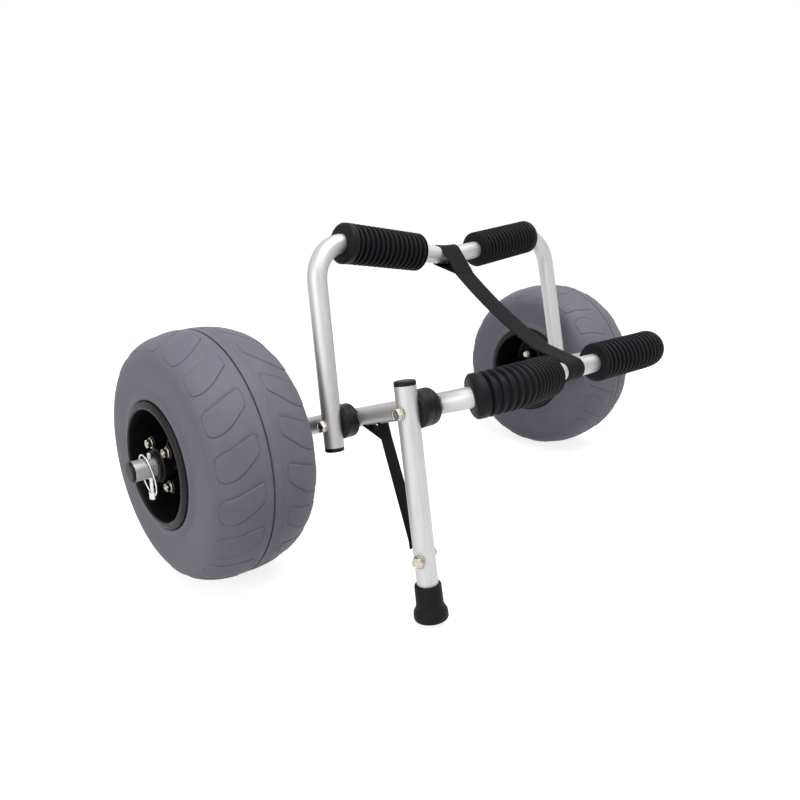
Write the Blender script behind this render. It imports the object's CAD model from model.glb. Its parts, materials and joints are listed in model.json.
"""A kayak cart dressed around its fixed frame: tube hoops, balloon wheels, foam pads, stand and webbing.

Shapes are worked out in millimetres, and add_object turns them to metres.
"""

import json
import math
from types import SimpleNamespace

import bmesh
import bpy
import numpy as np
from bpy.props import FloatProperty, IntProperty, PointerProperty, StringProperty
from mathutils import Matrix, Vector


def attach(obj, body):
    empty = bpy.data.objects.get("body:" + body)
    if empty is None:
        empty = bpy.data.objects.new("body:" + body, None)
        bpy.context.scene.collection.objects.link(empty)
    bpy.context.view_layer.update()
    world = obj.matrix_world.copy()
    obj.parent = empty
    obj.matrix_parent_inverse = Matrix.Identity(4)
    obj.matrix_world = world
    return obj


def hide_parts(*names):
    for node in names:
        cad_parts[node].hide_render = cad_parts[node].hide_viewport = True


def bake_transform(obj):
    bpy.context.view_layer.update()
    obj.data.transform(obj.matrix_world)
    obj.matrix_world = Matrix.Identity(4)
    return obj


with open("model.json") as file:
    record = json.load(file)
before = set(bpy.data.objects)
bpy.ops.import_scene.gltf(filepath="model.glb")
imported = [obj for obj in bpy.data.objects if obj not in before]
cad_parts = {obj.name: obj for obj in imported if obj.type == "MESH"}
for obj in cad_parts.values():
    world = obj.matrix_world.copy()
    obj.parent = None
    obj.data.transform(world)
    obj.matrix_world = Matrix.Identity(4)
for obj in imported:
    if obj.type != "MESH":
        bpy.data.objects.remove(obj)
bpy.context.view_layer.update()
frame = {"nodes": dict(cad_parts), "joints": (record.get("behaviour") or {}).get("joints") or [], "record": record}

bl_info = {
    "name": "Kayak Cart",
    "version": (1, 0, 0),
    "blender": (4, 5, 0),
    "location": "View3D > Sidebar > Kayak Cart",
    "description": "Builds the visible pieces of a folding kayak cart around its frame",
    "category": "Add Mesh",
}

MM = 0.001
SIDES = (("left", -1), ("right", 1))
X_AXIS, Y_AXIS, Z_AXIS = Vector((1, 0, 0)), Vector((0, 1, 0)), Vector((0, 0, 1))
FIT_GAP = 0.3

# What the frame's joints settle, in millimetres
HINGES = {joint["name"]: Vector(joint["pos_m"]) / MM for joint in frame["joints"]}
AXLE = HINGES["right_wheel_spin"]
PIVOT = HINGES["back_hoop_fold"]
STAND_BOLT = HINGES["stand_fold"]
RING_HINGE = HINGES["right_ring_swing"]
PIVOT_ALONG = math.hypot(PIVOT.y - AXLE.y, PIVOT.z - AXLE.z)
STAND_ALONG = math.hypot(STAND_BOLT.y - AXLE.y, STAND_BOLT.z - AXLE.z)
STAND_HALF = -STAND_BOLT.x
SLOPE = math.atan2(STAND_BOLT.z - AXLE.z, AXLE.y - STAND_BOLT.y)


def length(name, description, millimetres):
    """A length that a user may change, given here in millimetres."""
    return FloatProperty(name=name, description=description, default=millimetres * MM, unit="LENGTH")


def angle(name, description, degrees):
    return FloatProperty(name=name, description=description, default=math.radians(degrees), subtype="ANGLE")


def finish_colour(name, description, code):
    """A finish's plain colour, for a viewer that draws no pattern."""
    return StringProperty(name=name, description=description + " (sRGB hex)", default=code)


class CartFrameSizes(bpy.types.PropertyGroup):
    """Sizes of the bent tube frame and of what is bolted to it."""

    tube_radius: length("Tube radius", "Outside radius of the frame tube", 12.7)
    axle_bend: length("Axle bend", "Radius of the bend from the axle into each front leg", 50)
    front_bend: length("Front bend", "Radius of the front bar's corners", 70)
    back_bend: length("Back bend", "Radius of the back bar's corners", 50)
    crown_radius: length("Crown radius", "Radius of the bend in the middle of each bar", 200)
    back_lean: angle("Back lean", "Lean of the back hoop from upright", 11.6)
    stand_lean: angle("Stand lean", "Lean of the stand from upright", 10.4)
    front_half: length("Front half width", "Half width of the front hoop at its pivot", 220.5)
    back_half: length("Back half width", "Half width of the back hoop at its pivot", 259)
    front_top: length("Front reach", "Distance from the axle to the front bar's corner", 338)
    back_top: length("Back reach", "Distance from the pivot to the back bar's corner", 232.8)
    back_tail: length("Back tail", "Length of the back legs below the pivot", 30)
    front_splay: angle("Front splay", "Angle by which each front leg leans inward", 0.5)
    back_splay: angle("Back splay", "Angle by which each back leg leans inward", 2.9)
    front_dip: angle("Front dip", "Angle by which the front bar dips to its middle", 9.5)
    back_dip: angle("Back dip", "Angle by which the back bar dips to its middle", 7.1)
    axle_end: length("Axle end", "Distance of the axle's end from the middle", 478.5)
    saddle_radius: length("Saddle radius", "Radius of the saddle spacers", 22.2)
    saddle_reach: length("Saddle reach", "How far a saddle's wings reach round its tube", 6)
    saddle_chamfer: length("Saddle chamfer", "Chamfer round a saddle's wings", 4)


class CartWheelSizes(bpy.types.PropertyGroup):
    """Sizes of the balloon tyres and their rims."""

    tyre_radius: length("Tyre radius", "Outside radius of the tyre", AXLE.z)
    tyre_half: length("Tyre half width", "Half the width of the tyre", 70)
    widest_radius: length("Widest radius", "Radius at which the tyre is widest", 122)
    lug_height: length("Lug height", "Height of the moulded tread lugs", 0.65)
    lug_count: IntProperty(name="Lugs", description="Tread lugs in each row", default=18)
    rim_radius: length("Rim radius", "Outside radius of the rim's lip", 79.8)
    lip_out: length("Lip place", "Distance of the rim's face from the wheel's middle", 76)
    bolt_circle: length("Bolt circle", "Radius of the circle of rim bolts", 31)


class CartPadSizes(bpy.types.PropertyGroup):
    """Sizes of the foam pads."""

    radius: length("Pad radius", "Outside radius of the foam pads", 26.5)
    groove: length("Groove depth", "Depth of the grooves between ribs", 4.4)
    pitch: length("Rib pitch", "Distance from rib to rib", 8.7)
    ribs: IntProperty(name="Ribs", description="Ribs on each pad", default=14)
    inner_band: length("Inner band", "Plain band at a pad's inner end", 3)
    outer_band: length("Outer band", "Plain band at a pad's outer end", 13)
    stiffness: length("Stiffness", "How far a pad's outer end lags behind the tube's bend", 20)


class CartStrapSizes(bpy.types.PropertyGroup):
    """Sizes of the webbing."""

    width: length("Strap width", "Width of the main strap", 38)
    thickness: length("Thickness", "Thickness of the webbing", 1.8)
    sag: length("Sag", "Sag of the main strap in its middle", 6)
    stand_width: length("Stand strap width", "Width of the stand's strap", 18)


class CartFinishes(bpy.types.PropertyGroup):
    """Colours of the finishes, one for each material slot."""

    aluminium_tube: finish_colour("Aluminium", "Anodised tube", "#C6C6C6")
    grey_tyre: finish_colour("Tyre", "Moulded grey tyre", "#76747C")
    foam: finish_colour("Foam", "Closed-cell foam", "#161417")
    black_plastic: finish_colour("Black nylon", "Moulded rims, saddles and caps", "#151416")
    black_rubber: finish_colour("Rubber", "Moulded foot", "#121113")
    bolt_steel: finish_colour("Bolt steel", "Bright hex bolts", "#B9B2A7")
    zinc_wire: finish_colour("Zinc", "Plated wire and pins", "#CBCDCE")
    webbing: finish_colour("Webbing", "Woven polypropylene", "#151416")


PROPERTY_GROUPS = {
    "cart_frame": CartFrameSizes,
    "cart_wheels": CartWheelSizes,
    "cart_pads": CartPadSizes,
    "cart_straps": CartStrapSizes,
    "cart_finishes": CartFinishes,
}


def sizes_of(group):
    """A group's sizes as plain numbers, with its lengths in millimetres."""
    settings, plain = getattr(bpy.context.scene, group), {}
    for prop in settings.bl_rna.properties:
        if prop.type in ("FLOAT", "INT"):
            value = getattr(settings, prop.identifier)
            plain[prop.identifier] = value / MM if prop.unit == "LENGTH" else value
    return SimpleNamespace(**plain)


# Finishes


def linear(code):
    """Turns an sRGB hex code into a linear colour."""
    channels = [int(code[i:i + 2], 16) / 255 for i in (1, 3, 5)]
    return tuple(c / 12.92 if c <= 0.04045 else ((c + 0.055) / 1.055) ** 2.4 for c in channels) + (1.0,)


def add_node(tree, kind, settings=None, values=None, links=None):
    """Adds one node, with its settings, its input values and what its inputs are linked to."""
    node = tree.nodes.new(kind)
    for key, value in (settings or {}).items():
        setattr(node, key, value)
    for key, value in (values or {}).items():
        node.inputs[key].default_value = value
    for key, source in (links or {}).items():
        tree.links.new(source, node.inputs[key])
    return node


def new_finish(name, colour, metallic, roughness, specular):
    """A material with one shader. Returns the material, its tree and its shader."""
    material = bpy.data.materials.new(name)
    material.use_nodes = True
    material.diffuse_color = linear(colour)
    tree = material.node_tree
    tree.nodes.clear()
    values = {"Base Color": linear(colour), "Metallic": metallic, "Roughness": roughness}
    values["Specular IOR Level"] = specular
    shader = add_node(tree, "ShaderNodeBsdfPrincipled", values=values)
    add_node(tree, "ShaderNodeOutputMaterial", links={"Surface": shader.outputs[0]})
    return material, tree, shader


# How each finish is made. Its cloudy patches have a size in millimetres, and a darkest and a palest shade.
# bump is its relief's strength and height in millimetres. Relief that is too fine for the picture is drawn
# coarser, as its comment says. lay stretches the patches round and along a swept piece.
LOOKS = {
    # Drawn tube, bead blasted and clear anodised: an even satin, with the faintest streaks along its length
    "aluminium_tube": {"name": "anodised_aluminium", "metallic": 1.0, "roughness": (0.5, 0.56), "patch": 2.5,
                       "shades": ("#B9B9BA", "#C4C4C3"), "detail": 3, "bump": (0.03, 0.1),
                       "lay": (1.0, 0.05)},
    # Grey moulded tyre: satin, a little cloudy. The mould's grain is 0.3 mm and is drawn at 0.9 mm
    "grey_tyre": {"name": "moulded_grey_tyre", "specular": 0.3, "roughness": (0.54, 0.66), "patch": 26,
                  "shades": ("#65636D", "#6C6A73"), "detail": 6, "bump": (0.1, 0.12), "grain": 0.9},
    # Closed-cell nitrile foam: near black and dull. Its cells are 0.3 mm and are drawn at 1.1 mm
    "foam": {"name": "closed_cell_foam", "specular": 0.14, "roughness": (0.48, 0.6), "patch": 9,
             "shades": ("#0D0B0E", "#141116"), "detail": 5, "bump": (0.25, 0.25), "cells": 1.1},
    # Injection moulded nylon: a soft gloss, broken by a spark grain of 0.2 mm that is drawn at 0.6 mm
    "black_plastic": {"name": "moulded_black_nylon", "specular": 0.2, "roughness": (0.36, 0.5), "patch": 14,
                      "shades": ("#0D0C0E", "#141214"), "detail": 4, "bump": (0.12, 0.1), "grain": 0.6},
    # Moulded rubber: dull, slightly dusty where it is handled
    "black_rubber": {"name": "moulded_black_rubber", "specular": 0.14, "roughness": (0.5, 0.7), "patch": 6,
                     "shades": ("#0F0E10", "#171618"), "detail": 6, "bump": (0.15, 0.25)},
    # Cold headed stainless steel: bright, faintly warm, with fine tool marks
    "bolt_steel": {"name": "bright_bolt_steel", "metallic": 1.0, "roughness": (0.22, 0.36), "patch": 2.5,
                   "shades": ("#ADA598", "#C6C0B6"), "detail": 4, "bump": (0.08, 0.06)},
    # Zinc plated wire: pale, bright and slightly cloudy
    "zinc_wire": {"name": "zinc_plated_wire", "metallic": 1.0, "roughness": (0.24, 0.38), "patch": 3,
                  "shades": ("#BDC0C1", "#D8DADA"), "detail": 4, "bump": (0.08, 0.05)},
    # Polypropylene webbing with a dull sheen. Its picks are 1.3 mm apart and its ends 2.2 mm, drawn at double
    "webbing": {"name": "woven_black_webbing", "specular": 0.1, "roughness": (0.62, 0.78), "patch": 7,
                "shades": ("#121113", "#1A191B"), "detail": 5, "bump": (0.5, 0.3), "lay": (1.0, 1.0),
                "weave": (2.6, 4.4)},
}
RAMP_FROM, RAMP_TO = 0.3, 0.7


def surface_place(tree, lay):
    """The coordinates of a finish, in metres: a swept piece's own lay, or else the object's."""
    if not lay:
        return add_node(tree, "ShaderNodeTexCoord").outputs["Object"]
    source = add_node(tree, "ShaderNodeUVMap", {"uv_map": "lay"})
    scale = {"Scale": (lay[0], lay[1], 1)}
    return add_node(tree, "ShaderNodeMapping", values=scale, links={"Vector": source.outputs[0]}).outputs[0]


def relief(tree, place, look):
    """The finish's fine relief, where it has one of its own."""
    if "grain" in look:
        values = {"Scale": 1 / (look["grain"] * MM), "Detail": 2}
        return add_node(tree, "ShaderNodeTexNoise", values=values, links={"Vector": place}).outputs["Fac"]
    if "cells" in look:
        values = {"Scale": 1 / (look["cells"] * MM)}
        cells = add_node(tree, "ShaderNodeTexVoronoi", values=values, links={"Vector": place})
        return cells.outputs["Distance"]
    threads = {}
    for i, (direction, spacing, distortion) in enumerate(zip("YX", look["weave"], (0.4, 0.2))):
        # A wave repeats every pi / 10 of its scaled coordinate
        values = {"Scale": math.pi / 10 / (spacing * MM), "Distortion": distortion, "Detail": i + 1}
        settings = {"bands_direction": direction, "wave_profile": "SIN"}
        wave = add_node(tree, "ShaderNodeTexWave", settings, values, {"Vector": place})
        threads[i] = wave.outputs["Fac"]
    return add_node(tree, "ShaderNodeMath", {"operation": "MULTIPLY"}, links=threads).outputs[0]


def make_finish(look, colour):
    """A finish whose colour and roughness drift over patches of a real size, with its relief."""
    metallic, specular = look.get("metallic", 0.0), look.get("specular", 0.5)
    material, tree, shader = new_finish(look["name"], colour, metallic, look["roughness"][0], specular)
    place = surface_place(tree, look.get("lay"))
    values = {"Scale": 1 / (look["patch"] * MM), "Detail": look["detail"]}
    patches = add_node(tree, "ShaderNodeTexNoise", values=values, links={"Vector": place}).outputs["Fac"]
    ramp = add_node(tree, "ShaderNodeValToRGB", links={"Fac": patches})
    for element, position, shade in zip(ramp.color_ramp.elements, (RAMP_FROM, RAMP_TO), look["shades"]):
        element.position, element.color = position, linear(shade)
    values = {"From Min": RAMP_FROM, "From Max": RAMP_TO}
    values.update(zip(("To Min", "To Max"), look["roughness"]))
    spread = add_node(tree, "ShaderNodeMapRange", values=values, links={"Value": patches})
    own_relief = {"grain", "cells", "weave"} & look.keys()
    height = relief(tree, place, look) if own_relief else patches
    values = {"Strength": look["bump"][0], "Distance": look["bump"][1] * MM}
    bump = add_node(tree, "ShaderNodeBump", values=values, links={"Height": height})
    for socket, node in (("Base Color", ramp), ("Roughness", spread), ("Normal", bump)):
        tree.links.new(node.outputs[0], shader.inputs[socket])
    return material


def make_finishes():
    """Makes each finish once and gives it to the frame's own solids."""
    colours = bpy.context.scene.cart_finishes
    finishes = {slot: make_finish(look, getattr(colours, slot)) for slot, look in LOOKS.items()}
    slots = {part["node"]: part["material_slot"] for part in frame["record"]["subparts"]}
    for node, solid in frame["nodes"].items():
        solid.data.materials.clear()
        solid.data.materials.append(finishes[slots[node]])
    return finishes


FINISHES = {}


# Places


def place_matrix(origin, tilt):
    return Matrix.Translation(origin) @ Matrix.Rotation(tilt, 4, "X")


def front_place():
    """The front hoop's plane: Y runs up the legs, and Z points out of its underside."""
    return place_matrix(Vector((0, AXLE.y, AXLE.z)), math.pi - SLOPE)


def back_place():
    return place_matrix(PIVOT, math.pi / 2 - sizes_of("cart_frame").back_lean)


def stand_place():
    return place_matrix(STAND_BOLT, math.pi / 2 - sizes_of("cart_frame").stand_lean)


def wheel_place(side):
    """A wheel's middle, with X pointing away from the cart."""
    centre = Matrix.Translation((side * abs(AXLE.x), AXLE.y, AXLE.z))
    return centre @ Matrix.Rotation(0 if side > 0 else math.pi, 4, "Z")


def along_axis(origin, direction):
    """A place whose X axis starts at origin and points along direction."""
    turn = X_AXIS.rotation_difference(Vector(direction)).to_matrix().to_4x4()
    return Matrix.Translation(origin) @ turn


# Meshes


def add_object(name, mesh):
    """Turns a bmesh in millimetres into an object in metres."""
    bmesh.ops.recalc_face_normals(mesh, faces=mesh.faces)
    data = bpy.data.meshes.new(name)
    mesh.to_mesh(data)
    mesh.free()
    data.transform(Matrix.Scale(MM, 4))
    piece = bpy.data.objects.new(name, data)
    bpy.context.collection.objects.link(piece)
    return piece


def finish_mesh(mesh, name, place, slot, body, nodes, smooth_angle=35, cutter=None):
    """Makes an object of a bmesh, with its finish, its body and the solids that it stands for."""
    piece = add_object(name, mesh)
    if cutter:
        trim(piece, add_object("cutter", cutter))
    piece.data.materials.append(FINISHES[slot])
    piece.data.shade_smooth()
    piece.data.set_sharp_from_angle(angle=math.radians(smooth_angle))
    piece.data.transform(Matrix.Translation(place.translation * MM) @ place.to_3x3().to_4x4())
    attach(piece, body)
    if nodes:
        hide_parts(*nodes)
    return piece


def trim(piece, cutter):
    """Cuts one object out of a piece, rounds the edges that are left and applies both.

    Both are in metres by now. At another scale the rounded edges come out differently.
    """
    cut = piece.modifiers.new("cut", "BOOLEAN")
    cut.operation, cut.solver, cut.object = "DIFFERENCE", "EXACT", cutter
    soften = piece.modifiers.new("soften", "BEVEL")
    soften.width, soften.segments, soften.limit_method = 0.9 * MM, 3, "ANGLE"
    soften.angle_limit = math.radians(35)
    bpy.context.view_layer.update()
    evaluated = piece.evaluated_get(bpy.context.evaluated_depsgraph_get())
    result = bpy.data.meshes.new_from_object(evaluated)
    piece.modifiers.clear()
    piece.data = result
    bpy.data.objects.remove(cutter)


def add_grid(mesh, rings, closed_along=False, lay=None):
    """Skins rings of points. Each ring closes on itself, and the ends are capped or joined."""
    rows = [[mesh.verts.new(point) for point in ring] for ring in rings]
    layer = mesh.loops.layers.uv.get("lay") or mesh.loops.layers.uv.new("lay")
    count = len(rows[0])
    for r in range(len(rows) if closed_along else len(rows) - 1):
        near, far = rows[r], rows[(r + 1) % len(rows)]
        for s in range(count):
            face = mesh.faces.new((near[s], near[(s + 1) % count], far[(s + 1) % count], far[s]))
            if lay is not None:
                corners = ((r, s), (r, s + 1), (r + 1, s + 1), (r + 1, s))
                for loop, (row, step) in zip(face.loops, corners):
                    loop[layer].uv = (lay[0][step] * MM, lay[1][row] * MM)
    if not closed_along:
        mesh.faces.new(rows[0])
        mesh.faces.new(rows[-1])


def circle(centre, normal, binormal, radius, sides):
    turns = np.linspace(0, 2 * math.pi, sides, endpoint=False)
    return [centre + normal * (radius * math.cos(t)) + binormal * (radius * math.sin(t)) for t in turns]


def add_lathe(mesh, profile, sides, closed=True, place=Matrix.Identity(4)):
    """Turns a profile of (along, radius) round the place's X axis."""
    turns = [2 * math.pi * i / sides for i in range(sides)]
    rings = []
    for along, radius in profile:
        rings.append([place @ Vector((along, radius * math.cos(t), radius * math.sin(t))) for t in turns])
    add_grid(mesh, rings, closed_along=closed)


class BentLine:
    """A flat line with straight runs and round bends, measured along its length."""

    def __init__(self, corners, radii):
        self.pieces = []
        at = Vector(corners[0])
        for i in range(1, len(corners) - 1):
            corner = Vector(corners[i])
            into = (corner - Vector(corners[i - 1])).normalized()
            out = (Vector(corners[i + 1]) - corner).normalized()
            turn = math.atan2(into.x * out.y - into.y * out.x, into.dot(out))
            setback = radii[i] * math.tan(abs(turn) / 2)
            start = corner - into * setback
            self.pieces.append(("run", at, into, (start - at).length))
            self.pieces.append(("bend", start, into, radii[i] * abs(turn), math.copysign(radii[i], turn)))
            at = corner + out * setback
        end = Vector(corners[-1])
        self.pieces.append(("run", at, (end - at).normalized(), (end - at).length))
        self.length = sum(piece[3] for piece in self.pieces)

    def station(self, along):
        """The point and direction at a distance along the line."""
        for piece in self.pieces:
            if along <= piece[3] or piece is self.pieces[-1]:
                break
            along -= piece[3]
        kind, start, heading = piece[:3]
        if kind == "run":
            return start + heading * along, heading
        radius = piece[4]
        turn = along / radius
        side = Vector((-heading.y, heading.x))
        point = start + heading * (radius * math.sin(turn)) + side * (radius * (1 - math.cos(turn)))
        return point, heading * math.cos(turn) + side * math.sin(turn)

    def stops(self, step):
        """Distances at the ends of each run, and every step round each bend."""
        stops, at = [0.0], 0.0
        for piece in self.pieces:
            parts = max(1, round(piece[3] / step)) if piece[0] == "bend" else 1
            stops += [at + piece[3] * (i + 1) / parts for i in range(parts)]
            at += piece[3]
        return stops


def swept_rings(line, stops, radii, sides, lags=None):
    """Rings square to a line. A lag turns a ring to the line's direction at a place that far along."""
    rings = []
    for i, (along, radius) in enumerate(zip(stops, radii)):
        point, heading = line.station(along)
        if lags:
            heading = line.station(along + lags[i])[1]
        side = Vector((heading.y, -heading.x, 0))
        rings.append(circle(point.to_3d(), Z_AXIS, side, radius, sides))
    return rings


def mirrored(half):
    return half + [Vector((-point.x, point.y)) for point in reversed(half[:-1])]


def front_leg(along):
    """The left front leg's place across the cart, at a distance from the axle."""
    sizes = sizes_of("cart_frame")
    return -(sizes.front_half - (along - PIVOT_ALONG) * math.tan(sizes.front_splay))


def back_leg(along):
    """The left back leg's place across the cart, at a distance from the pivot."""
    sizes = sizes_of("cart_frame")
    return -(sizes.back_half - along * math.tan(sizes.back_splay))


def front_line():
    sizes = sizes_of("cart_frame")
    top = front_leg(sizes.front_top)
    half = [
        Vector((-sizes.axle_end, 0)),
        Vector((front_leg(0), 0)),
        Vector((top, sizes.front_top)),
        Vector((0, sizes.front_top + top * math.tan(sizes.front_dip))),
    ]
    axle, bend = sizes.axle_bend, sizes.front_bend
    return BentLine(mirrored(half), [0, axle, bend, sizes.crown_radius, bend, axle])


def back_line():
    sizes = sizes_of("cart_frame")
    top = back_leg(sizes.back_top)
    half = [
        Vector((back_leg(-sizes.back_tail), -sizes.back_tail)),
        Vector((top, sizes.back_top)),
        Vector((0, sizes.back_top + top * math.tan(sizes.back_dip))),
    ]
    return BentLine(mirrored(half), [0, sizes.back_bend, sizes.crown_radius, sizes.back_bend])


# Tubes. The stand is measured up from its bolt
POST_BOTTOM, POST_TOP = -235.8, 30
TUBE_SIDES = 48


class KAYAKCART_OT_tubes(bpy.types.Operator):
    """Both bent hoops and the stand's post"""

    bl_idname = "kayak_cart.tubes"
    bl_label = "Hoops and post"

    def execute(self, context):
        radius = sizes_of("cart_frame").tube_radius
        post = BentLine([Vector((0, POST_BOTTOM)), Vector((0, POST_TOP))], [])
        for node, body, line, place in (
            ("front_hoop", "frame", front_line(), front_place()),
            ("back_hoop", "back_frame", back_line(), back_place()),
            ("stand_post", "stand", post, stand_place()),
        ):
            stops = line.stops(3)
            lay = [2 * math.pi * radius * i / TUBE_SIDES for i in range(TUBE_SIDES + 1)], stops
            mesh = bmesh.new()
            add_grid(mesh, swept_rings(line, stops, [radius] * len(stops), TUBE_SIDES), lay=lay)
            finish_mesh(mesh, node + "_tube", place, "aluminium_tube", body, [node], 60)
        return {"FINISHED"}


# Wheels

# Where the outer row of lugs lies across the tyre, and a lug's two long edges there, in degrees round it
LUG_INNER, LUG_OUTER, LUG_END = 18.0, 64.6, 65.0
LUG_REACH = (18.0, 18.7, 25.7, 34.0, 42.3, 50.7, 57.3, 65.0)
LUG_NEAR = (0.0, 0.1, 0.9, 1.9, 3.2, 4.6, 5.3, 5.8)
LUG_FAR = (7.6, 8.1, 10.4, 13.1, 15.6, 17.3, 17.8, 17.9)
# The inner row starts nearer to the middle. Each row's first lug starts at its own turn
INNER_ROW, ROW_STARTS = 13.0, (69.4, 65)
# The width of a lug's wall and of the run up to it in degrees, and its foot's depth as a share of its height
LUG_WALL, LUG_REST, LUG_FOOT = 0.42, 0.3, 0.9
# Millimetres round the tread for each degree, the power of its rounded section, and its drop at the crown
ARC_DEGREE, TREAD_POWER, CROWN_DROP = 2.6, 2.3, 0.2

# Stops across the tread in millimetres and how far each is raised, as (place, share of a lug, bare height)
OUTER_STOPS = [(0, 0, 0), (3, 0, 0), (5.4, 0, 0), (5.9, 0, 0), (6.3, 0, -2.4), (8.4, 0, -2.4), (8.8, 0, 0)]
OUTER_STOPS += [(9.3, 0, 0), (12, 0, 0), (15, 0, 0), (17.3, 0, 0), (18.0, -0.6, 0), (19.2, 1, 0)]
OUTER_STOPS += [(19.9, 1, 0)]
INNER_STOPS = [(2.4, 0, 0), (3.1, 0, 0.5), (3.7, 0, 0.5), (4.4, 0, 0), (6.4, 0, 0), (7.1, 0, 0.5)]
INNER_STOPS += [(7.9, 0, 0.5), (8.6, 0, 0), (10.5, 0, 0), (12.3, 0, 0), (13.0, -0.6, 0), (14.2, 1, 0)]
INNER_STOPS += [(14.9, 1, 0), (17.4, 1, 0)]
LUG_STOPS = (22, 24.5, 27, 30, 33, 36, 39, 42, 45, 48, 51, 54, 56.5, 58.5, 60, 61, 61.9, 62.7, 63.4)
SHOULDER_STOPS = [(stop, 1, 0) for stop in LUG_STOPS] + [(LUG_OUTER, -0.6, 0)]
SHOULDER_STOPS += [(stop, 0, 0) for stop in (65.4, 66.2, 67.4, 68.4, 69.2, 69.75)]

# The sidewall from its widest place to the bead, with the moulded ring that stands up round the rim
SIDEWALL = ((70.0, 122), (69.95, 116), (69.7, 110), (69.3, 105), (68.8, 100), (68.4, 96), (68.3, 93))
SIDEWALL += ((68.7, 91), (69.8, 89.2), (70.9, 87.4), (71.6, 85.4), (71.8, 83.6), (71.4, 82), (70.4, 80.9))
SIDEWALL += ((69, 80.5), (66, 80.5), (65.6, 76), (63.2, 74.4))


def corner_inset(reach, end, radius):
    """How far a rounded corner draws a lug's edge in, in degrees, on the way to one of its ends."""
    over = min(max(radius - abs(end - reach), 0.0), radius) if LUG_INNER <= reach <= LUG_OUTER else radius
    return (radius - math.sqrt(radius ** 2 - over ** 2)) / ARC_DEGREE


def lug_edges(reach):
    """Where a lug begins and ends round the tyre, in degrees, with its corners rounded."""
    end, near_corner, far_corner = (LUG_OUTER, 6.5, 8.5) if reach > 40 else (LUG_INNER, 4.0, 3.0)
    near = np.interp(reach, LUG_REACH, LUG_NEAR) + corner_inset(reach, end, near_corner)
    far = np.interp(reach, LUG_REACH, LUG_FAR) - corner_inset(reach, end, far_corner)
    return near, far


def tyre_section(sizes):
    """The tyre's outside from one bead to the other, as (across, radius, lug share, bare height)."""
    width, widest = sizes.tyre_half, sizes.widest_radius
    crown = sizes.tyre_radius - CROWN_DROP
    halves = []
    for side, stops in ((-1, INNER_STOPS), (1, OUTER_STOPS)):
        half = []
        for stop, share, height in stops + SHOULDER_STOPS:
            radius = widest + (crown - widest) * (1 - (stop / width) ** TREAD_POWER) ** (1 / TREAD_POWER)
            half.append((side * stop, radius, share, height))
        half += [(side * across, radius, 0, 0) for across, radius in SIDEWALL]
        halves.append(half)
    return list(reversed(halves[0])) + halves[1]


def add_tyre(mesh, sizes):
    """Skins the tyre with rings round it, each with its points set on the lugs' walls."""
    section = np.array(tyre_section(sizes))
    slope = np.gradient(section[:, :2], axis=0)
    normals = np.stack([-slope[:, 1], slope[:, 0]], axis=1)
    normals /= np.linalg.norm(normals, axis=1)[:, None]
    pitch = 360 / sizes.lug_count
    rings = []
    for (across, radius, share, height), (nx, nr) in zip(section, normals):
        reach = abs(across)
        if across < 0:
            reach = LUG_INNER + (reach - INNER_ROW) * (LUG_END - LUG_INNER) / (LUG_END - INNER_ROW)
        near, far = lug_edges(min(max(reach, LUG_INNER), LUG_END))
        start = np.interp(across, (-INNER_ROW, LUG_INNER), ROW_STARTS)
        top, foot = near + LUG_WALL, far - LUG_WALL
        angles = [near - LUG_REST, near, top, top + LUG_REST]
        angles += [top + (foot - top) * k / 4 for k in (1, 2, 3)]
        angles += [foot - LUG_REST, foot, far, far + LUG_REST]
        angles += [far + (near + pitch - far) * k / 4 for k in (1, 2, 3)]
        ring = []
        for lug in range(sizes.lug_count):
            for mark, offset in enumerate(angles):
                turn = math.radians(start - offset - lug * pitch)
                raised = height
                if 2 <= mark <= 8:
                    raised += sizes.lug_height * share
                elif mark in (1, 9) and share:
                    raised -= sizes.lug_height * LUG_FOOT
                out = radius + nr * raised
                ring.append(Vector((across + nx * raised, out * math.cos(turn), out * math.sin(turn))))
        rings.append(ring)
    add_grid(mesh, rings, closed_along=True)


# Each half of the rim: its name, its side of the wheel's middle, and where its sleeve and its bosses end
RIM_HALVES = (("outer", 1, 70.9, 65.6), ("inner", -1, 41.9, 37))
RIM_BOLT_HEAD, RIM_BOLT_SEAT = -37.3, 65.9
RIM_HEX = {"flats": 10, "height": 4.6, "washer": 1.2, "washer_radius": 6.5}
PIVOT_HEX = {"flats": 13, "height": 5.3, "washer": 1.6, "washer_radius": 8}


def rim_profile(sign, hub_end, sizes):
    """Half of the rim: sleeve, web, barrel and its rounded lip, as (across, radius)."""
    out, lip = sizes.lip_out, sizes.rim_radius
    points = [(0.15, 16.2), (0.15, 74.0), (66.4, 74.0), (66.4, lip - 0.8), (66.8, lip - 0.2), (67.6, lip)]
    points += [(out - 4.4, lip), (out - 3.4, lip - 0.25), (out - 2.5, lip - 0.95), (out - 1.7, lip - 2.2)]
    points += [(out - 0.9, lip - 4.0), (out - 0.25, lip - 5.8), (out, lip - 7.0), (out - 0.05, lip - 8.0)]
    points += [(out - 0.5, lip - 8.9), (out - 1.4, lip - 9.5), (out - 2.8, lip - 9.7)]
    points += [(62, 69.9), (20, 69.0), (9, 68.6), (5.6, 67.4), (4.2, 65.2), (4.0, 62)]
    points += [(4.0, 25.5), (4.4, 23.2), (6.2, 21.6), (hub_end - 1.2, 21.0), (hub_end, 19.9), (hub_end, 16.2)]
    return [(sign * x, radius) for x, radius in points]


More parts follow.
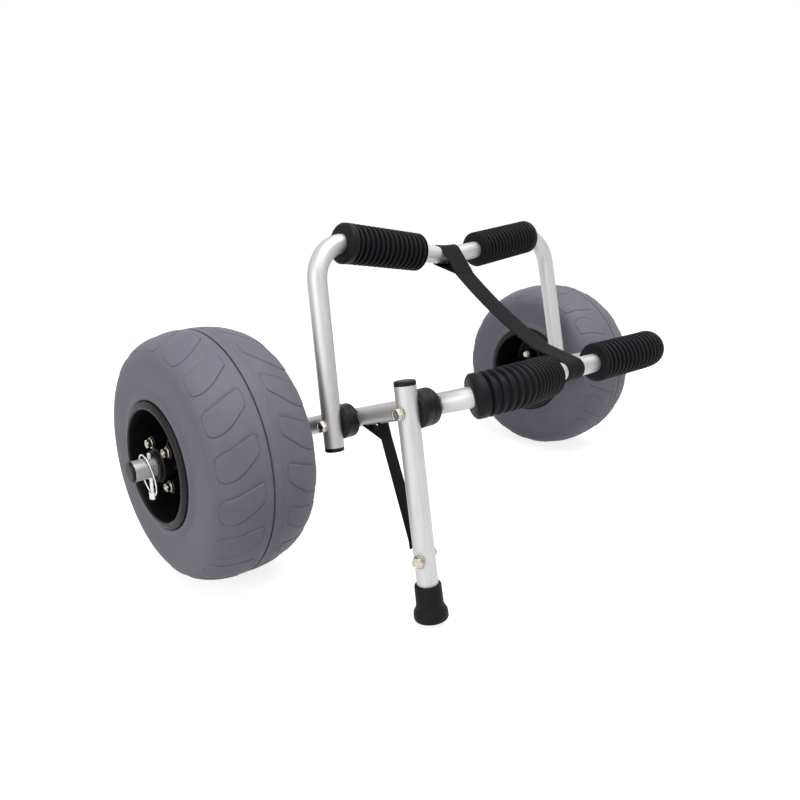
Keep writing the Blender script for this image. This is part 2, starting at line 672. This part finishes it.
def add_rib(mesh, sign, hub_end, turn):
    """A radial rib that slopes from the hub sleeve down to the barrel, with a rounded top edge."""
    top = hub_end * 0.82
    shape = [(2, 19.5), (top, 19.5), (top - 1, 22), (34, 68.4), (33, 70.5), (2, 70.5)]
    rotate = Matrix.Rotation(turn, 4, "X")
    rings = []
    for side, shrink in ((-1.5, 0.7), (-0.9, 0.0), (0.9, 0.0), (1.5, 0.7)):
        rings.append([rotate @ Vector((sign * (x - (shrink if x > 3 else 0)), y, side)) for x, y in shape])
    add_grid(mesh, rings)


def add_rim(mesh, sign, hub_end, boss_end, sizes):
    add_lathe(mesh, rim_profile(sign, hub_end, sizes), 96)
    boss = [(2, 3.2), (2, 9.6), (6, 9.2), (boss_end - 1, 8.8), (boss_end, 7.8), (boss_end, 3.2)]
    for i in range(4):
        centre = Matrix.Translation(rim_bolt_centre(sizes, i))
        add_lathe(mesh, [(sign * x, radius) for x, radius in boss], 28, place=centre)
        add_rib(mesh, sign, hub_end, math.radians(90 * i))


def rim_bolt_centre(sizes, index):
    turn = math.radians(45 + 90 * index)
    return Vector((0, sizes.bolt_circle * math.cos(turn), sizes.bolt_circle * math.sin(turn)))


def hex_reach(turn, flats):
    """Distance from the middle of a hexagon to its edge in one direction."""
    folded = (turn + math.pi / 6) % (math.pi / 3) - math.pi / 6
    return flats / 2 / math.cos(folded)


def add_hex(mesh, place, flats, height, start, recess=0.0, hole=0.0):
    """A hexagon with its corners turned off at the top, from start along X. It may be dished or bored."""
    turns = [2 * math.pi * i / 60 for i in range(60)]
    corner = flats / math.sqrt(3)
    rows = []
    for along, cone in ((0, 1), (0.8, 1), (0.9, 0.965), (0.96, 0.925), (1, 0.87)):
        rows.append((start + along * height, [min(hex_reach(t, flats), corner * cone) for t in turns]))
    centre = hole or flats * 0.36
    rows.append((start + height, [centre + 0.5] * 60))
    rows.append((start + height - recess, [centre] * 60))
    rings = []
    for along, radii in rows:
        points = [(along, r * math.cos(t), r * math.sin(t)) for r, t in zip(radii, turns)]
        rings.append([place @ Vector(point) for point in points])
    add_grid(mesh, rings)


def add_washer(mesh, place, thickness, radius, bore=3.0):
    soft = thickness * 0.3
    profile = [(0, bore), (0, radius - soft), (soft, radius), (thickness - soft, radius)]
    profile += [(thickness, radius - soft), (thickness, bore)]
    add_lathe(mesh, profile, 40, place=place)


def add_thread(mesh, place, end, radius):
    """A threaded tail with a chamfered tip."""
    pitch, root = radius * 0.32, radius * 0.86
    profile = [(0, 0.2)]
    for i in range(max(2, int(end / pitch))):
        profile += [(i * pitch, root), ((i + 0.5) * pitch, radius)]
    profile += [(end - pitch * 0.4, root), (end, radius * 0.68), (end, 0.2)]
    add_lathe(mesh, profile, 24, False, place)


def add_bolt(mesh, head, seat, flats, height, washer, washer_radius, radius, tail, recess):
    """A bolt with its washer and head at one point, and its threaded tail past the other."""
    axis, grip = (seat - head).normalized(), (seat - head).length
    back, front = along_axis(head, -axis), along_axis(seat, axis)
    add_washer(mesh, back, washer, washer_radius)
    add_hex(mesh, back, flats, height, washer, recess)
    add_lathe(mesh, [(-grip, 0.2), (-grip, radius), (0, radius), (0, 0.2)], 24, False, front)
    add_thread(mesh, front, washer + height + tail, radius)


def add_nut(mesh, seat, axis, flats, height, washer, washer_radius, hole):
    place = along_axis(seat, axis)
    add_washer(mesh, place, washer, washer_radius, hole)
    add_hex(mesh, place, flats, height, washer, height * 0.9, hole)


class KAYAKCART_OT_wheels(bpy.types.Operator):
    """Balloon tyres on split moulded rims, with hub bushes and through bolts"""

    bl_idname = "kayak_cart.wheels"
    bl_label = "Wheels"

    def execute(self, context):
        sizes = sizes_of("cart_wheels")
        for label, side in SIDES:
            place, body = wheel_place(side), label + "_wheel"
            mesh = bmesh.new()
            add_tyre(mesh, sizes)
            finish_mesh(mesh, label + "_balloon_tyre", place, "grey_tyre", body, [label + "_tyre"], 40)
            for half, sign, hub_end, boss_end in RIM_HALVES:
                mesh = bmesh.new()
                add_rim(mesh, sign, hub_end, boss_end, sizes)
                name = f"{label}_moulded_rim_{half}"
                finish_mesh(mesh, name, place, "black_plastic", body, [f"{label}_rim_{half}"], 32)
                mesh = bmesh.new()
                self.add_bush(mesh, sign, hub_end)
                name = f"{label}_hub_bush_{half}"
                finish_mesh(mesh, name, place, "black_plastic", body, [f"{label}_bush_{half}"], 32)
            for i in range(4):
                self.add_rim_bolt(sizes, label, body, place, i)
        return {"FINISHED"}

    def add_bush(self, mesh, sign, end):
        profile = [(end - 22, 13.1), (end - 22, 15.6), (end + 0.3, 15.6), (end + 0.3, 18.6), (end + 0.7, 19)]
        profile += [(end + 1.7, 19), (end + 2.1, 18.6), (end + 2.1, 13.6), (end + 1.6, 13.1)]
        add_lathe(mesh, [(sign * x, radius) for x, radius in profile], 56)

    def add_rim_bolt(self, sizes, label, body, place, index):
        middle = rim_bolt_centre(sizes, index)
        head, seat = middle + X_AXIS * RIM_BOLT_HEAD, middle + X_AXIS * RIM_BOLT_SEAT
        mesh = bmesh.new()
        add_bolt(mesh, head, seat, radius=3, tail=1, recess=0, **RIM_HEX)
        add_nut(mesh, seat, X_AXIS, hole=3.1, **RIM_HEX)
        name = f"{label}_through_bolt_{index + 1}"
        finish_mesh(mesh, name, place, "bolt_steel", body, [f"{label}_rim_bolt_{index + 1}"], 28)


# Foam pads

# One rib, as shares of half its pitch and of the groove's depth: a narrow round crest between wide grooves
RIB_SHARES = ((-1, 0), (-0.6, 0), (-0.5, 0.15), (-0.42, 0.65), (-0.3, 0.92), (-0.12, 1))
RIB_SHARES += tuple((-share, swell) for share, swell in reversed(RIB_SHARES[1:]))
PAD_BORE_GAP = 0.9


def pad_profile(sizes):
    """A pad's section from its inner end, as (along, radius): round ribs between two plain bands."""
    radius, low = sizes.radius, sizes.radius - sizes.groove
    bore = sizes_of("cart_frame").tube_radius + PAD_BORE_GAP
    ribs_end = sizes.inner_band + sizes.ribs * sizes.pitch
    end = ribs_end + sizes.outer_band
    rows = [(0, bore), (0, radius - 3.4), (0.5, radius - 2.2), (1.3, radius - 0.9)]
    rows += [(sizes.inner_band - 0.8, radius - 0.1), (sizes.inner_band - 0.2, radius - 0.5)]
    for i in range(sizes.ribs):
        middle = sizes.inner_band + (i + 0.5) * sizes.pitch
        for share, swell in RIB_SHARES:
            rows.append((middle + share * sizes.pitch / 2, low + sizes.groove * swell))
    rows += [(ribs_end, low), (ribs_end + 0.4, radius - 0.8), (ribs_end + 1.2, radius)]
    rows += [(end - 3.6, radius), (end - 2.6, radius - 0.4), (end - 0.5, radius - 2.6)]
    rows += [(end, radius - 3.4), (end, bore)]
    return rows + [(end * (11 - k) / 12, bore) for k in range(11)]


class KAYAKCART_OT_pads(bpy.types.Operator):
    """Ribbed foam pads pushed over the corners of both hoops"""

    bl_idname = "kayak_cart.pads"
    bl_label = "Foam pads"

    def execute(self, context):
        sizes = sizes_of("cart_pads")
        rows = pad_profile(sizes)
        pad_length = max(along for along, _ in rows)
        for node, line, place, body, side, inner in (
            ("front_left_pad", front_line(), front_place(), "frame", -1, 74),
            ("front_right_pad", front_line(), front_place(), "frame", 1, 46),
            ("back_left_pad", back_line(), back_place(), "back_frame", -1, 68),
            ("back_right_pad", back_line(), back_place(), "back_frame", 1, 62),
        ):
            stops = [line.length / 2 + side * (inner + along) for along, _ in rows]
            lags = [-side * sizes.stiffness * (along / pad_length) ** 2 for along, _ in rows]
            mesh = bmesh.new()
            rings = swept_rings(line, stops, [radius for _, radius in rows], 48, lags)
            add_grid(mesh, rings, closed_along=True)
            pad = finish_mesh(mesh, node + "_foam", place, "foam", body, [node], 50)
        return {"FINISHED"}


# Moulded fittings

COLLAR_RADIUS, COLLAR_EDGE = 18.5, 0.4
# The lock pin's top above the axle, the wire ring's half width, half height, wire and lean
PIN_TOP = 19
RING_HALF_WIDTH, RING_HALF_HEIGHT, RING_WIRE, RING_LEAN = 18.5, 27, 1.1, math.radians(8.8)


def plug_profile(flange, radius):
    """A moulded plug with a domed flange, as (along, radius)."""
    inside, soft = radius - 2.4, min(flange * 0.6, 2.2)
    rows = [(-12, 0.2), (-12, inside), (0.15, inside), (0.15, radius), (flange - soft, radius)]
    for turn in (0.4, 0.8, 1.2, 1.57):
        rows.append((flange - soft + soft * math.sin(turn), radius - soft + soft * math.cos(turn)))
    return rows + [(flange + 0.1, radius * 0.5), (flange + 0.1, 0.2)]


def add_plug(name, node, place, body, end, outward, flange):
    """A plug in the end of a tube."""
    mesh = bmesh.new()
    profile = plug_profile(flange, sizes_of("cart_frame").tube_radius)
    add_lathe(mesh, profile, 48, False, along_axis(end, outward))
    finish_mesh(mesh, name, place, "black_plastic", body, [node])


def add_saddle(node, place, body, side_x, tube_x, along, splay):
    """A puck on the bolt's line, hollowed on one face to hug a tube and softened along its edges."""
    sizes = sizes_of("cart_frame")
    outer, hollow, edge = sizes.saddle_radius, sizes.tube_radius + FIT_GAP, sizes.saddle_chamfer
    reach = abs(tube_x - side_x) - sizes.tube_radius + sizes.saddle_reach
    profile = [(0, 0.1), (0, outer), (reach - edge, outer), (reach, outer - edge), (reach, 0.1)]
    toward = Vector((math.copysign(1, tube_x - side_x), 0, 0))
    mesh = bmesh.new()
    add_lathe(mesh, profile, 64, False, along_axis(Vector((side_x, along, 0)), toward))
    direction = Vector((math.sin(splay), math.cos(splay), 0))
    start = Vector((tube_x, along, 0)) - direction * (outer * 2)
    cutter = bmesh.new()
    profile = [(0, 0.1), (0, hollow), (outer * 4, hollow), (outer * 4, 0.1)]
    add_lathe(cutter, profile, 64, False, along_axis(start, direction))
    finish_mesh(mesh, node + "_spacer", place, "black_plastic", body, [node], 30, cutter)


def add_fastener(name, nodes, place, body, head, seat, tail=3):
    """A hex bolt and its nut, both with their washers."""
    mesh = bmesh.new()
    add_bolt(mesh, head, seat, radius=4, tail=tail, recess=0.8, **PIVOT_HEX)
    finish_mesh(mesh, name + "_hex_bolt", place, "bolt_steel", body, [nodes[0]], 28)
    mesh = bmesh.new()
    add_nut(mesh, seat, (seat - head).normalized(), hole=4.1, **PIVOT_HEX)
    finish_mesh(mesh, name + "_hex_nut", place, "bolt_steel", body, [nodes[1]], 28)


class KAYAKCART_OT_fittings(bpy.types.Operator):
    """Saddle spacers, pivot bolts and the back legs' caps"""

    bl_idname = "kayak_cart.fittings"
    bl_label = "Fittings"

    def execute(self, context):
        sizes = sizes_of("cart_frame")
        reach = sizes.tube_radius + FIT_GAP
        middle = (sizes.front_half + sizes.back_half) / 2
        for label, side in SIDES:
            add_saddle(label + "_outer_saddle", back_place(), "back_frame", side * (middle + FIT_GAP / 2),
                       side * sizes.back_half, 0, -side * sizes.back_splay)
            add_saddle(label + "_inner_saddle", front_place(), "frame", side * (middle - FIT_GAP / 2),
                       side * sizes.front_half, PIVOT_ALONG, -side * sizes.front_splay)
            head = Vector((side * (sizes.back_half + reach), PIVOT_ALONG, 0))
            seat = Vector((side * (sizes.front_half - reach), PIVOT_ALONG, 0))
            nodes = (label + "_pivot_bolt", label + "_pivot_nut")
            add_fastener(label + "_pivot", nodes, front_place(), "frame", head, seat)
            tail = Vector((side * -back_leg(-sizes.back_tail), -sizes.back_tail, 0))
            outward = Vector((side * math.sin(sizes.back_splay), -math.cos(sizes.back_splay), 0))
            name, node = label + "_leg_end_cap", label + "_leg_cap"
            add_plug(name, node, back_place(), "back_frame", tail, outward, 5.5)
        return {"FINISHED"}


class KAYAKCART_OT_axle_ends(bpy.types.Operator):
    """Axle plugs, washers, collars, lock pins and their wire rings"""

    bl_idname = "kayak_cart.axle_ends"
    bl_label = "Axle ends"

    def execute(self, context):
        sizes = sizes_of("cart_frame")
        axle = Matrix.Translation((0, AXLE.y, AXLE.z))
        bore, edge, outer = sizes.tube_radius + FIT_GAP, COLLAR_EDGE, COLLAR_RADIUS
        for label, side in SIDES:
            outward = Vector((side, 0, 0))
            end = outward * sizes.axle_end
            add_plug(label + "_axle_end_plug", label + "_axle_plug", axle, "frame", end, outward, 3.5)
            for name, node, start, stop in (
                ("thrust_ring", "thrust_washer", 450.8, 452.2),
                ("hub_collar", "axle_collar", 324.2, 333.2),
            ):
                profile = [(start, bore), (start, outer - edge), (start + edge, outer), (stop - edge, outer)]
                profile += [(stop, outer - edge), (stop, bore)]
                mesh = bmesh.new()
                add_lathe(mesh, profile, 56, place=along_axis(Vector(), outward))
                finish_mesh(mesh, f"{label}_{name}", axle, "black_plastic", "frame", [f"{label}_{node}"])
            self.add_pin(label, side)
            self.add_ring(label, side)
        return {"FINISHED"}

    def add_pin(self, label, side):
        """The pin, with a round head under the axle where its ring is hinged."""
        place = Matrix.Translation((side * RING_HINGE.x, AXLE.y, AXLE.z))
        head = RING_HINGE.z - AXLE.z
        profile = [(head - 5, 0.2), (head - 5, 4.2), (head - 4.2, 5), (head + 4.2, 5), (head + 5, 4.2)]
        profile += [(head + 5, 3), (PIN_TOP - 2, 3), (PIN_TOP - 0.6, 2.4), (PIN_TOP, 1.2), (PIN_TOP, 0.2)]
        mesh = bmesh.new()
        add_lathe(mesh, profile, 32, False, along_axis(Vector(), Z_AXIS))
        finish_mesh(mesh, label + "_locking_pin", place, "zinc_wire", "frame", [label + "_lock_pin"])

    def add_ring(self, label, side):
        """An oval of wire that is open at the pin's head."""
        lean = Matrix.Rotation(side * RING_LEAN, 4, "Y")
        place = Matrix.Translation((side * RING_HINGE.x, AXLE.y, RING_HINGE.z)) @ lean
        rings = []
        for turn in np.linspace(0.054, 2 * math.pi - 0.054, 97):
            across, up = RING_HALF_WIDTH * math.sin(turn), RING_HALF_HEIGHT * (1 - math.cos(turn))
            slope = (0, RING_HALF_WIDTH * math.cos(turn), RING_HALF_HEIGHT * math.sin(turn))
            normal = Vector(slope).normalized().cross(X_AXIS)
            rings.append(circle(Vector((0, across, up)), X_AXIS, normal, RING_WIRE, 14))
        mesh = bmesh.new()
        add_grid(mesh, rings)
        finish_mesh(mesh, label + "_wire_ring", place, "zinc_wire", label + "_ring", [label + "_pin_ring"])


# The stand's foot, bolt and rivet, measured up its post from its pivot, and the foot bolt's turn round it
SOLE, FOOT_BOLT, STRAP_RIVET = -245.79, -171.5, -152
FOOT_BOLT_TURN = math.radians(18)


class KAYAKCART_OT_stand(bpy.types.Operator):
    """The stand's foot, cap, saddles and bolts"""

    bl_idname = "kayak_cart.stand"
    bl_label = "Stand"

    def execute(self, context):
        sizes = sizes_of("cart_frame")
        place, top = stand_place(), Vector((0, POST_TOP, 0))
        add_plug("stand_end_cap", "stand_top_cap", place, "stand", top, Y_AXIS, 5.5)
        rows = [(0, 0.2), (0, 18.0), (0.7, 19.6), (2.5, 20.5), (7.7, 20.4), (10.5, 20.0), (13, 18.6)]
        rows += [(15.5, 17.1), (19, 16.3), (41.5, 15.9), (42.7, 15.2), (43, 14.2), (43, 13.0), (10, 13.0)]
        mesh = bmesh.new()
        add_lathe(mesh, rows + [(10, 0.2)], 64, False, along_axis(Vector((0, SOLE, 0)), Y_AXIS))
        finish_mesh(mesh, "stand_ferrule", place, "black_rubber", "stand", ["stand_foot"])
        self.add_stand_pivot(sizes)
        self.add_stand_screws(sizes, place)
        return {"FINISHED"}

    def add_stand_pivot(self, sizes):
        leg = front_leg(STAND_ALONG)
        middle = (leg - STAND_HALF) / 2
        reach = sizes.tube_radius + FIT_GAP
        add_saddle("stand_outer_saddle", stand_place(), "stand", middle + STAND_HALF - FIT_GAP / 2, 0, 0, 0)
        add_saddle("stand_inner_saddle", front_place(), "frame", middle + FIT_GAP / 2, leg, STAND_ALONG,
                   sizes.front_splay)
        head = Vector((-(STAND_HALF + reach), STAND_ALONG, 0))
        seat = Vector((leg + reach, STAND_ALONG, 0))
        add_fastener("stand", ("stand_bolt", "stand_nut"), front_place(), "frame", head, seat)

    def add_stand_screws(self, sizes, place):
        line = Vector((math.cos(FOOT_BOLT_TURN), 0, -math.sin(FOOT_BOLT_TURN)))
        line *= sizes.tube_radius + FIT_GAP
        centre = Vector((0, FOOT_BOLT, 0))
        add_fastener("foot", ("foot_bolt", "foot_nut"), place, "stand", centre - line, centre + line, 0)
        seat = Vector((0, STRAP_RIVET, -(sizes.tube_radius + 2.4)))
        rows = [(-3, 0.2), (-3, 2), (0, 2), (0, 4), (0.8, 4), (1.7, 3), (2.2, 1.4), (2.2, 0.2)]
        mesh = bmesh.new()
        add_lathe(mesh, rows, 32, False, along_axis(seat, -Z_AXIS))
        finish_mesh(mesh, "stand_strap_rivet", place, "bolt_steel", "stand", ["strap_screw"])


# Webbing

# Where the strap's ends cross the bars, left of their middles, and how far its loops reach towards each other
FRONT_CROSSING, BACK_CROSSING = -13, -7
LOOP_TIP, SPAN_START, LOOP_BOW = 46, 45, 0.9
# The stand's strap: its place up the front leg, its plies' spread, their join and its tail past the rivet
STRAP_ALONG, PLY_SPREAD, PLY_JOIN, STRAP_TAIL = 147, 15, 22, 9


def ribbon_section(width, thickness):
    """Half-round edges and a flat middle, as (across, off the strap's middle)."""
    half, edge = width / 2, thickness / 2
    right = [(0, edge), (width / 4, edge), (half - edge, edge), (half - edge * 0.3, edge * 0.75), (half, 0)]
    top = [(-x, y) for x, y in reversed(right[1:])] + right
    return top + [(x, -y) for x, y in reversed(top[1:-1])]


def add_ribbon(mesh, path, width, thickness, bow=Vector()):
    """Webbing along a path in a plane across X. bow shifts its edges to follow a bent bar."""
    section = ribbon_section(width, thickness)
    rings, marks = [], []
    for i, point in enumerate(path):
        before, after = path[max(i - 1, 0)], path[min(i + 1, len(path) - 1)]
        off = (after - before).normalized().cross(X_AXIS)
        marks.append(marks[-1] + (point - path[i - 1]).length if i else 0.0)
        rings.append([point + X_AXIS * x + off * y + bow * (2 * x / width) ** 2 for x, y in section])
    add_grid(mesh, rings, lay=([x for x, _ in section] + [section[0][0]], marks))


def add_webbing(name, path, width, body, nodes, bow=Vector()):
    """A piece of webbing along a path in the cart's own space."""
    mesh = bmesh.new()
    add_ribbon(mesh, path, width, sizes_of("cart_straps").thickness, bow)
    return finish_mesh(mesh, name, Matrix.Identity(4), "webbing", body, nodes, 50)


def straight_path(start, end, steps):
    return [start.lerp(end, k / steps) for k in range(steps + 1)]


def teardrop(centre, toward, radius, tip, steps=40):
    """A loop round a bar, drawn in to a point in the direction of its strap. All in the plane across X."""
    spread = math.acos(radius / tip)
    side = X_AXIS.cross(toward)
    points = []
    for i in range(steps + 1):
        turn = spread + (2 * math.pi - 2 * spread) * i / steps
        points.append(centre + toward * (radius * math.cos(turn)) + side * (radius * math.sin(turn)))
    end = centre + toward * tip
    return straight_path(end, points[0], 6)[:-1] + points + straight_path(points[-1], end, 6)[1:]


def bar_crossing(line, place, shift):
    """A point on a bar's middle line, at a distance from its middle."""
    point, _ = line.station(line.length / 2 + shift)
    return place @ point.to_3d()


class KAYAKCART_OT_straps(bpy.types.Operator):
    """The webbing strap between both bars and the stand's short strap"""

    bl_idname = "kayak_cart.straps"
    bl_label = "Webbing"

    def execute(self, context):
        sizes, tube = sizes_of("cart_straps"), sizes_of("cart_frame").tube_radius
        front = bar_crossing(front_line(), front_place(), FRONT_CROSSING)
        back = bar_crossing(back_line(), back_place(), BACK_CROSSING)
        run = (back - front).normalized()
        wrap = tube + sizes.thickness / 2 + 0.5
        for label, centre, toward, body, place in (
            ("front", front, run, "frame", front_place()),
            ("back", back, -run, "back_frame", back_place()),
        ):
            bow = place.to_3x3() @ Vector((0, LOOP_BOW, 0))
            loop = teardrop(centre, toward, wrap, LOOP_TIP)
            add_webbing(f"strap_{label}_wrap", loop, sizes.width, body, [f"strap_{label}_loop"], bow)
        self.add_span(sizes, front + run * SPAN_START, back - run * SPAN_START)
        self.add_stand_strap(sizes, tube)
        return {"FINISHED"}

    def add_span(self, sizes, start, end):
        path = []
        for i in range(33):
            t = i / 32
            path.append(start.lerp(end, t) - Z_AXIS * (4 * sizes.sag * t * (1 - t)))
        span = add_webbing("strap_webbing_span", path, sizes.width, "frame", ["strap_span"])
        span.parent = None
        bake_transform(span)

    def add_stand_strap(self, sizes, tube):
        """Two plies hang from the leg and join, and the strap runs on to its rivet."""
        leg, place, stand = front_leg(STRAP_ALONG), front_place(), stand_place()
        rivet = stand @ Vector((0, STRAP_RIVET, -(tube + FIT_GAP + sizes.thickness / 2)))
        centre = place @ Vector((leg, STRAP_ALONG, 0))
        pull = rivet - centre
        pull.x = 0
        join = centre + pull.normalized() * (tube + PLY_JOIN)
        for name, spread, nodes in (("a", -PLY_SPREAD, ["stand_strap_loop"]), ("b", PLY_SPREAD, [])):
            top = place @ Vector((leg, STRAP_ALONG + spread, tube - 2))
            path = straight_path(top, join, 10)
            add_webbing(f"stand_strap_ply_{name}", path, sizes.stand_width, "frame", nodes)
        path = straight_path(join, rivet, 20)
        path.append(rivet + (stand.to_3x3() @ Vector((0, -STRAP_TAIL, 0))))
        span = add_webbing("stand_strap_run", path, sizes.stand_width, "frame", ["stand_strap_span"])
        span.parent = None
        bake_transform(span)


# Stage

# The photograph's viewpoint: the camera's place from the axle's height and line in millimetres, and its turns
CAMERA_SPOT = Vector((-756.55, AXLE.y - 739.2, AXLE.z + 304.35))
CAMERA_YAW, CAMERA_PITCH, CAMERA_ROLL, CAMERA_LENS = 0.7997, 0.2843, 0.012, 29.71


def add_camera():
    level, drop = math.cos(CAMERA_PITCH), math.sin(CAMERA_PITCH)
    forward = Vector((math.cos(CAMERA_YAW) * level, math.sin(CAMERA_YAW) * level, -drop))
    right = forward.cross(Z_AXIS).normalized()
    up = right.cross(forward)
    rolled_right = right * math.cos(CAMERA_ROLL) + up * math.sin(CAMERA_ROLL)
    rolled_up = up * math.cos(CAMERA_ROLL) - right * math.sin(CAMERA_ROLL)
    camera = bpy.data.objects.new("camera", bpy.data.cameras.new("camera"))
    bpy.context.collection.objects.link(camera)
    turn = Matrix((rolled_right, rolled_up, -forward)).transposed().to_4x4()
    camera.matrix_world = Matrix.Translation(CAMERA_SPOT * MM) @ turn
    camera.data.lens = CAMERA_LENS
    bpy.context.scene.camera = camera


def add_lamp(name, spot, size, power):
    """A wide soft lamp that points at the cart's middle. Its spot and size are in metres."""
    data = bpy.data.lights.new(name, "AREA")
    data.shape, data.size, data.size_y, data.energy = "RECTANGLE", size, size * 0.7, power
    lamp = bpy.data.objects.new(name, data)
    bpy.context.collection.objects.link(lamp)
    aim = (Vector((0, 0, 0.2)) - Vector(spot)).to_track_quat("-Z", "Y").to_matrix().to_4x4()
    lamp.matrix_world = Matrix.Translation(spot) @ aim


def seen_rays(tree):
    """One where a ray comes from the camera or from a glossy or clear surface."""
    paths = add_node(tree, "ShaderNodeLightPath").outputs
    seen = paths["Is Camera Ray"]
    for kind in ("Is Glossy Ray", "Is Transmission Ray"):
        links = {0: seen, 1: paths[kind]}
        seen = add_node(tree, "ShaderNodeMath", {"operation": "MAXIMUM"}, links=links).outputs[0]
    return seen


def make_world():
    """White where it is seen, and a plain soft light elsewhere."""
    world = bpy.data.worlds.new("studio")
    bpy.context.scene.world = world
    world.use_nodes = True
    tree = world.node_tree
    tree.nodes.clear()
    links = {0: seen_rays(tree)}
    for i, strength in ((1, 0.36), (2, 1.0)):
        values = {"Color": (1, 1, 1, 1), "Strength": strength}
        links[i] = add_node(tree, "ShaderNodeBackground", values=values).outputs[0]
    mix = add_node(tree, "ShaderNodeMixShader", links=links)
    add_node(tree, "ShaderNodeOutputWorld", links={"Surface": mix.outputs[0]})


def add_paper_floor():
    """White matt paper that keeps the shadow: its glow where it is seen brings it up to the background."""
    material, tree, shader = new_finish("white_paper_floor", "#C4C4C4", 0.0, 1.0, 0.0)
    tree.links.new(seen_rays(tree), shader.inputs["Emission Strength"])
    shader.inputs["Emission Color"].default_value = (0.8, 0.8, 0.8, 1)
    mesh = bmesh.new()
    bmesh.ops.create_grid(mesh, x_segments=8, y_segments=8, size=40 / MM)
    floor = add_object("floor", mesh)
    floor.data.materials.append(material)


class KAYAKCART_OT_stage(bpy.types.Operator):
    """Pale floor, soft light and the photograph's camera"""

    bl_idname = "kayak_cart.stage"
    bl_label = "Stage"

    def execute(self, context):
        context.scene.view_settings.view_transform = "Standard"
        add_paper_floor()
        make_world()
        add_lamp("key", (0.1, -0.7, 2.6), 2.2, 62)
        add_lamp("fill", (-2.7, -0.5, 1.2), 1.8, 26)
        add_camera()
        return {"FINISHED"}


class KAYAKCART_PT_panel(bpy.types.Panel):
    """Lists the steps that dress the kayak cart"""

    bl_idname = "KAYAKCART_PT_panel"
    bl_label = "Kayak Cart"
    bl_space_type = "VIEW_3D"
    bl_region_type = "UI"
    bl_category = "Kayak Cart"

    def draw(self, context):
        for operator in OPERATORS:
            self.layout.operator(operator.bl_idname)
        for group in PROPERTY_GROUPS:
            settings = getattr(context.scene, group)
            box = self.layout.box()
            for name in settings.bl_rna.properties.keys():
                if name not in ("rna_type", "name"):
                    box.prop(settings, name)


OPERATORS = (
    KAYAKCART_OT_tubes,
    KAYAKCART_OT_wheels,
    KAYAKCART_OT_pads,
    KAYAKCART_OT_fittings,
    KAYAKCART_OT_axle_ends,
    KAYAKCART_OT_stand,
    KAYAKCART_OT_straps,
    KAYAKCART_OT_stage,
)
CLASSES = tuple(PROPERTY_GROUPS.values()) + OPERATORS + (KAYAKCART_PT_panel,)


def register():
    for item in CLASSES:
        bpy.utils.register_class(item)
    for name, group in PROPERTY_GROUPS.items():
        setattr(bpy.types.Scene, name, PointerProperty(type=group))


def unregister():
    for name in PROPERTY_GROUPS:
        delattr(bpy.types.Scene, name)
    for item in reversed(CLASSES):
        bpy.utils.unregister_class(item)


def corners(box):
    return [[round(value, 5) for value in corner] for corner in box]


def main():
    register()
    FINISHES.update(make_finishes())
    bpy.ops.kayak_cart.tubes()
    bpy.ops.kayak_cart.wheels()
    bpy.ops.kayak_cart.pads()
    bpy.ops.kayak_cart.fittings()
    bpy.ops.kayak_cart.axle_ends()
    bpy.ops.kayak_cart.stand()
    bpy.ops.kayak_cart.straps()
    bpy.ops.kayak_cart.stage()


if __name__ == "__main__":
    main()
